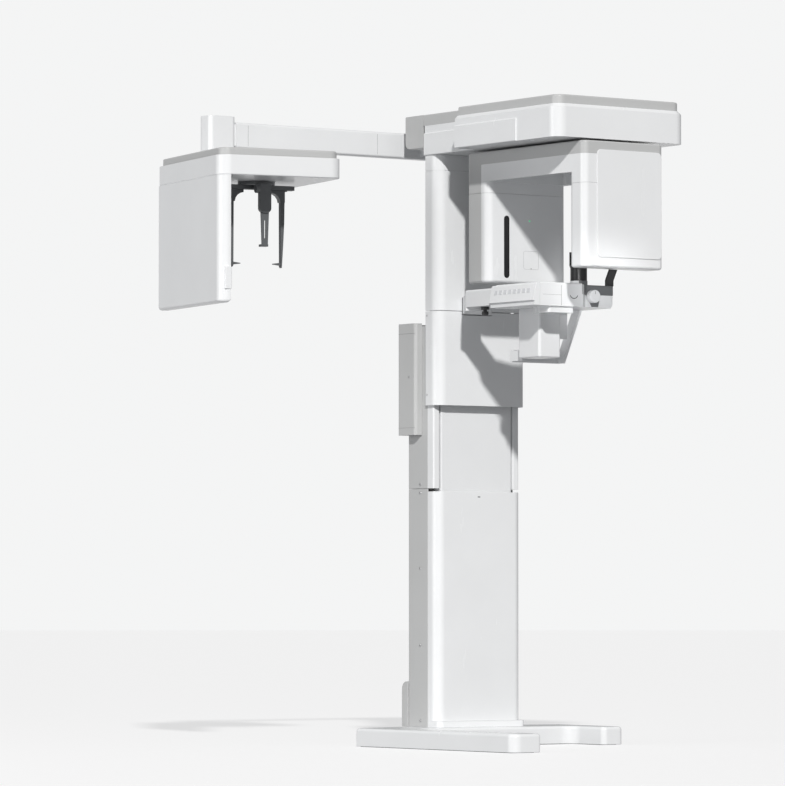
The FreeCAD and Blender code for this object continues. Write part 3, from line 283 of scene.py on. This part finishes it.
def bevelled(obj, width, segments=2):
    """Round every hard edge by the width and keep the flats flat."""
    bevel = obj.modifiers.new("edges", "BEVEL")
    bevel.width = width
    bevel.segments = segments
    bevel.limit_method = "ANGLE"
    bevel.angle_limit = math.radians(35)
    bevel.use_clamp_overlap = True
    bevel.harden_normals = False
    applied(obj)
    smooth(obj)
    weight = obj.modifiers.new("normals", "WEIGHTED_NORMAL")
    weight.keep_sharp = True
    applied(obj)


def cleaned_copy(node):
    """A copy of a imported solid's mesh with its flat faces merged."""
    mesh = NODES[node].data.copy()
    work = bmesh.new()
    work.from_mesh(mesh)
    bmesh.ops.remove_doubles(work, verts=work.verts, dist=1e-6)
    bmesh.ops.dissolve_limit(
        work, angle_limit=math.radians(0.6), verts=work.verts, edges=work.edges, delimit=set())
    work.to_mesh(mesh)
    work.free()
    return mesh


def refine(node):
    """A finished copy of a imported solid: same shape, with its hard edges rounded."""
    obj = new_object(node + "_finish", cleaned_copy(node), SLOT_MATERIALS[SLOT_OF[node]])
    bevelled(obj, EDGE_WIDTHS.get(node, EDGE))
    ride_as(obj, node)
    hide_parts(node)


def ride_as(obj, node):
    """Move the object with the node's body."""
    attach(obj, BODY_OF[node])


class Trim:
    """Small moulded or pressed pieces on one body, gathered into one finished object."""

    def __init__(self, name, node, material):
        self.name = name
        self.node = node
        self.material = material
        self.mesh = bmesh.new()

    def block(self, x0, x1, y0, y1, z0, z1, spin=0.0, about=(0, 0, 0), axis="Z"):
        """Box between the limits, turned about a point where wanted."""
        made = bmesh.ops.create_cube(self.mesh, size=1.0)["verts"]
        centre = Vector(((x0 + x1) / 2, (y0 + y1) / 2, (z0 + z1) / 2))
        size = Matrix.Diagonal((abs(x1 - x0), abs(y1 - y0), abs(z1 - z0), 1))
        there = Matrix.Translation(about)
        turn = there @ Matrix.Rotation(spin, 4, axis) @ there.inverted()
        bmesh.ops.transform(self.mesh, matrix=turn @ Matrix.Translation(centre) @ size, verts=made)

    def drum(self, centre, axis, radius, depth, end_radius=None, sides=40):
        """Round piece whose middle is at the centre."""
        made = bmesh.ops.create_cone(
            self.mesh, cap_ends=True, segments=sides, radius1=radius,
            radius2=radius if end_radius is None else end_radius, depth=depth)["verts"]
        turn = Vector(axis).to_track_quat("Z", "Y").to_matrix().to_4x4()
        bmesh.ops.transform(self.mesh, matrix=Matrix.Translation(centre) @ turn, verts=made)

    def ring(self, centre, axis, outer, inner, depth):
        """Flat ring: an outer and an inner wall joined by two faces."""
        sides = 48
        turn = Vector(axis).to_track_quat("Z", "Y").to_matrix()
        loops = []
        for radius, height in ((outer, -1), (outer, 1), (inner, 1), (inner, -1)):
            loop = []
            for step in range(sides):
                angle = 2 * math.pi * step / sides
                at = Vector((radius * math.cos(angle), radius * math.sin(angle), height * depth / 2))
                loop.append(self.mesh.verts.new(Vector(centre) + turn @ at))
            loops.append(loop)
        for number in range(4):
            one, two = loops[number], loops[(number + 1) % 4]
            for step in range(sides):
                after = (step + 1) % sides
                self.mesh.faces.new((one[step], one[after], two[after], two[step]))

    def band(self, points, width, out):
        """Thin raised strip along a path of points on a face that looks along out."""
        out = Vector(out).normalized()
        points = [Vector(point) for point in points]
        rows = []
        for index, point in enumerate(points):
            before = points[max(index - 1, 0)]
            after = points[min(index + 1, len(points) - 1)]
            across = (after - before).normalized().cross(out) * (width / 2)
            low = out * (-SEAM_RISE)
            high = out * SEAM_RISE
            rows.append([self.mesh.verts.new(point + shift) for shift in (
                across + low, across + high, -across + high, -across + low)])
        for one, two in zip(rows, rows[1:]):
            for side in range(4):
                after = (side + 1) % 4
                self.mesh.faces.new((one[side], one[after], two[after], two[side]))
        self.mesh.faces.new(rows[0][::-1])
        self.mesh.faces.new(rows[-1])

    def make(self, bevel, segments=2):
        """Finish the gathered pieces; a bevel of 0 leaves thin marks as they are."""
        bmesh.ops.recalc_face_normals(self.mesh, faces=self.mesh.faces)
        mesh = bpy.data.meshes.new(self.name)
        self.mesh.to_mesh(mesh)
        self.mesh.free()
        obj = new_object(self.name, mesh, self.material)
        if bevel:
            bevelled(obj, bevel, segments)
        else:
            smooth(obj)
        ride_as(obj, self.node)


def rounded_path(x0, x1, z0, z1, radius, y):
    """Closed path of a rounded rectangle on a face that looks along Y."""
    steps = 6
    points = []
    corners = ((x1 - radius, z1 - radius, 0), (x0 + radius, z1 - radius, 90),
               (x0 + radius, z0 + radius, 180), (x1 - radius, z0 + radius, 270))
    for cx, cz, start in corners:
        for step in range(steps + 1):
            angle = math.radians(start + 90 * step / steps)
            points.append((cx + radius * math.cos(angle), y, cz + radius * math.sin(angle)))
    points.append(points[0])
    return points


# ---------------------------------------------------------------- small details


def detector_marks():
    """Status light, and the outline of the service hatch with its lock."""
    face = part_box("detector_front")[0].y
    light = Trim("detector_light", "detector_front", GREEN_LIGHT)
    light.drum((0.010, face - SEAM_RISE, 1.863), (0, 1, 0), 0.0032, 0.0016)
    light.make(0.3 * MM)
    hatch = Trim("detector_hatch", "detector_front", SEAM_SOFT)
    hatch.band(rounded_path(-0.0165, 0.0495, 1.6915, 1.7555, 0.006, face), 0.0008, (0, -1, 0))
    hatch.ring((0.0165, face, 1.6935), (0, 1, 0), 0.0028, 0.0012, 0.0006)
    hatch.make(0)


def table_marks():
    """Seams, finger recess and height mark on the front of the patient table."""
    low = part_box("table_body")[0]
    face = low.y
    seams = Trim("table_seams", "table_body", SEAM_SOFT)
    seams.band([(TABLE_SEAM_X, face, low.z + 0.024), (TABLE_SEAM_X, face, 1.6135)], 0.0013, (0, -1, 0))
    seams.band([(low.x + 0.012, face, 1.5797), (TABLE_SEAM_X, face, 1.5797)], 0.0009, (0, -1, 0))
    seams.band([(-0.022, face, 1.5892), (-0.006, face, 1.5892)], 0.0014, (0, -1, 0))
    seams.make(0)
    # Painted shade: the finger recess is a dark arc on the flat face, standing for the shade in the
    # recess.
    recess = Trim("table_recess", "table_body", PAINTED_SHADE_AND_MARK)
    arc = []
    for step in range(17):
        angle = math.radians(195 + 150 * step / 16)
        arc.append((-0.057 + 0.0165 * math.cos(angle), face, 1.5835 + 0.0145 * math.sin(angle)))
    recess.band(arc, 0.0028, (0, -1, 0))
    recess.make(0)


def chin_cushion():
    """Soft rim on the chin cup and a wiper ring where the post enters the collar."""
    low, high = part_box("chin_rest")
    x = (low.x + high.x) / 2
    y = (low.y + high.y) / 2
    rim = Trim("chin_rim", "chin_rest", PAD)
    rim.ring((x, y, high.z - 0.001), (0, 0, 1), 0.0243, 0.0188, 0.005)
    rim.make(1.2 * MM, 3)
    wiper = Trim("collar_wiper", "table_body", RUBBER)
    wiper.ring((x, y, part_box("table_body")[1].z - 0.0006), (0, 0, 1), 0.0302, 0.0215, 0.0008)
    wiper.make(0)


def knob_marks():
    """Grip ridges round the temple width knob, and its pointer."""
    low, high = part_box("width_knob")
    x = (low.x + high.x) / 2
    z = (low.z + high.z) / 2
    radius = (high.x - low.x) / 2
    grip = Trim("knob_grip", "width_knob", WHITE)
    count = 36
    for step in range(count):
        angle = 2 * math.pi * step / count
        grip.block(
            x + radius - 0.0008, x + radius + 0.0004, low.y + 0.005, low.y + 0.020,
            z - 0.0009, z + 0.0009, angle, (x, 0, z), "Y")
    grip.make(0.3 * MM)
    pointer = Trim("knob_pointer", "width_knob", PAINTED_SHADE_AND_MARK)
    pointer.block(x - 0.0008, x + 0.0008, low.y - 0.0001, low.y + 0.002, z + 0.008, z + 0.018)
    pointer.make(0.1 * MM)


def electronics_marks():
    """Lid seams, lock, vents, cable glands and blank rating plate of the electronics box."""
    low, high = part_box("electronics_box")
    seams = Trim("electronics_seams", "electronics_box", SEAM_SOFT)
    for z in (low.z + 0.0263, high.z - 0.036):
        for x, way in ((low.x, -1), (high.x, 1)):
            seams.band([(x, low.y + 0.004, z), (x, high.y - 0.008, z)], 0.0014, (way, 0, 0))
        seams.band([(low.x + 0.008, high.y, z), (high.x - 0.008, high.y, z)], 0.0014, (0, 1, 0))
    seams.make(0)
    locks = Trim("electronics_locks", "electronics_box", STEEL)
    for x in (low.x, high.x):
        locks.drum((x, 0.0386, 1.3184), (1, 0, 0), 0.0042, 0.0012)
    locks.make(0.3 * MM)
    # Painted shade: the vents are dark strips on the flat face, standing for the shade inside the
    # openings.
    vents = Trim("electronics_vents", "electronics_box", PAINTED_SHADE_AND_MARK)
    for row in range(9):
        z = low.z + 0.06 + 0.011 * row
        for side in (-1, 1):
            vents.block(
                side * 0.12 - 0.055, side * 0.12 + 0.055, high.y - 0.001, high.y + 0.0003, z, z + 0.004)
    vents.make(0)
    glands = Trim("cable_glands", "electronics_box", BLACK)
    for x in (-0.05, 0.0, 0.05):
        glands.drum((x, high.y + 0.004, low.z + 0.045), (0, 1, 0), 0.013, 0.010, sides=6)
        glands.drum((x, high.y + 0.010, low.z + 0.045), (0, 1, 0), 0.009, 0.012, 0.007)
    glands.make(0.6 * MM)
    plate = Trim("rating_plate", "electronics_box", ALLOY)
    plate.block(-0.045, 0.045, high.y - 0.001, high.y + 0.0008, high.z - 0.11, high.z - 0.06)
    plate.make(0.3 * MM)


def column_marks():
    """Screw sockets on the column, screws of the moving cover and the slot in the fixed one."""
    low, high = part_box("frame_screws")
    # Painted shade: the screw sockets are thin dark hexagons standing for the shade inside them.
    sockets = Trim("frame_sockets", "frame_screws", PAINTED_SHADE_AND_MARK)
    for x in (low.x, high.x):
        for z in FRAME_SCREW_HEIGHTS:
            sockets.drum((x, 0.010, z), (1, 0, 0), 0.0024, 0.0004, sides=6)
    sockets.make(0)
    low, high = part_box("moving_cover_low")
    screws = Trim("cover_screws", "moving_cover_low", STEEL)
    for x in (low.x, high.x):
        for z in (low.z + 0.038, high.z - 0.016):
            screws.drum((x, -0.044, z), (1, 0, 0), 0.0036, 0.0010)
    screws.make(0.3 * MM)
    # Painted shade: the slot is a thin dark block on the face, standing for the shade inside it.
    slot = Trim("cover_slot", "lower_front_cover", PAINTED_SHADE_AND_MARK)
    slot.block(-0.009, 0.002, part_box("lower_front_cover")[0].y - 0.0003, -0.088, 0.8870, 0.8905)
    slot.make(0)


def boom_marks():
    """Seams where the covers of the cephalometric boom meet."""
    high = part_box("ceph_boom")[1]
    face = 0.15
    seams = Trim("boom_seams", "ceph_boom", SEAM_SOFT)
    for x in (-0.28, -0.84):
        seams.band([(x, face, 2.124), (x, face, high.z - 0.026)], 0.0012, (0, -1, 0))
    seams.make(0)


def bracket_marks():
    """Fixing bolts and washers on the rear bracket."""
    low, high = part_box("rear_bracket")
    bolts = Trim("bracket_bolts", "rear_bracket", STEEL)
    for x in (low.x + 0.03, 0.0, high.x - 0.03):
        for z in (low.z + 0.030, high.z - 0.030):
            bolts.drum((x, high.y + 0.002, z), (0, 1, 0), 0.0085, 0.006, sides=6)
            bolts.drum((x, high.y, z), (0, 1, 0), 0.0125, 0.0016)
    bolts.make(0.5 * MM)


def make_details():
    detector_marks()
    table_marks()
    chin_cushion()
    knob_marks()
    electronics_marks()
    column_marks()
    boom_marks()
    bracket_marks()


# ---------------------------------------------------------------- stage


def make_camera():
    """A long lens, low and to the left of the machine's front."""
    data = bpy.data.cameras.new("camera")
    data.lens = 227.0
    data.sensor_width = 36.0
    data.clip_end = 100.0
    camera = bpy.data.objects.new("camera", data)
    camera.location = (-10.564, -14.388, 0.5325)
    camera.rotation_euler = (math.radians(92.35), 0.0, math.radians(-35.45))
    bpy.context.scene.collection.objects.link(camera)
    bpy.context.scene.camera = camera


def make_light(name, location, target, size, power, colour=(1, 1, 1)):
    data = bpy.data.lights.new(name, "AREA")
    data.shape = "RECTANGLE"
    data.size = size[0]
    data.size_y = size[1]
    data.energy = power
    data.color = colour
    light = bpy.data.objects.new(name, data)
    light.location = location
    aim = Vector(target) - Vector(location)
    light.rotation_euler = aim.to_track_quat("-Z", "Y").to_euler()
    light.visible_camera = False
    bpy.context.scene.collection.objects.link(light)


def make_snoot(name, location, target, cone, power):
    """Narrow soft spot that reaches the table's end below the tube head."""
    data = bpy.data.lights.new(name, "SPOT")
    data.spot_size = math.radians(cone)
    data.spot_blend = 1.0
    data.shadow_soft_size = 0.12
    data.energy = power
    light = bpy.data.objects.new(name, data)
    light.location = location
    aim = Vector(target) - Vector(location)
    light.rotation_euler = aim.to_track_quat("-Z", "Y").to_euler()
    light.visible_camera = False
    bpy.context.scene.collection.objects.link(light)


def make_sun(direction, strength, angle, colour):
    data = bpy.data.lights.new("sun", "SUN")
    data.energy = strength
    data.angle = math.radians(angle)
    data.color = colour
    light = bpy.data.objects.new("sun", data)
    light.rotation_euler = Vector(direction).to_track_quat("-Z", "Y").to_euler()
    bpy.context.scene.collection.objects.link(light)


def make_world(light, paper):
    """Even sky light, with pale paper as the far background."""
    world = bpy.data.worlds.new("studio")
    world.use_nodes = True
    tree = world.node_tree
    sky = tree.nodes["Background"]
    sky.inputs["Color"].default_value = (0.97, 0.98, 1.0, 1)
    sky.inputs["Strength"].default_value = light
    far = tree.nodes.new("ShaderNodeBackground")
    far.inputs["Color"].default_value = (0.985, 0.99, 0.99, 1)
    far.inputs["Strength"].default_value = paper
    path = tree.nodes.new("ShaderNodeLightPath")
    mix = tree.nodes.new("ShaderNodeMixShader")
    tree.links.new(path.outputs["Is Camera Ray"], mix.inputs["Fac"])
    tree.links.new(sky.outputs["Background"], mix.inputs[1])
    tree.links.new(far.outputs["Background"], mix.inputs[2])
    tree.links.new(mix.outputs["Shader"], tree.nodes["World Output"].inputs["Surface"])
    bpy.context.scene.world = world


def make_floor():
    mesh = bpy.data.meshes.new("floor")
    work = bmesh.new()
    bmesh.ops.create_circle(work, cap_ends=True, segments=96, radius=60.0)
    work.to_mesh(mesh)
    work.free()
    floor = new_object("floor", mesh, backdrop("floor_paper", (0.36, 0.36, 0.362)))
    floor.visible_diffuse = False


def make_stage():
    """Pale floor, a key from the front left, soft fills, a snoot for the table and an even sky."""
    make_floor()
    make_sun((0.62, 1.0, -0.68), 2.95, 2.5, (1.0, 0.99, 0.975))
    make_light("strip", (-3.2, -8.5, 2.6), (0, -0.3, 1.4), (0.7, 4.5), 14)
    make_light("left_fill", (-8.0, 0.6, 2.0), (0, 0, 1.4), (4.0, 4.0), 150)
    make_snoot("table_snoot", (-1.2, -2.4, 1.50), (0.07, -0.71, 1.60), 10.0, 150)
    make_world(0.27, 0.92)
    bpy.context.scene.view_settings.view_transform = "Standard"


# ---------------------------------------------------------------- make it


def finish_nodes():
    for node in sorted(NODES):
        obj = NODES[node]
        obj.data.materials.clear()
        obj.data.materials.append(SLOT_MATERIALS[SLOT_OF[node]])
    for node in sorted(NODES):
        refine(node)


make_camera()
make_stage()
finish_nodes()
make_details()
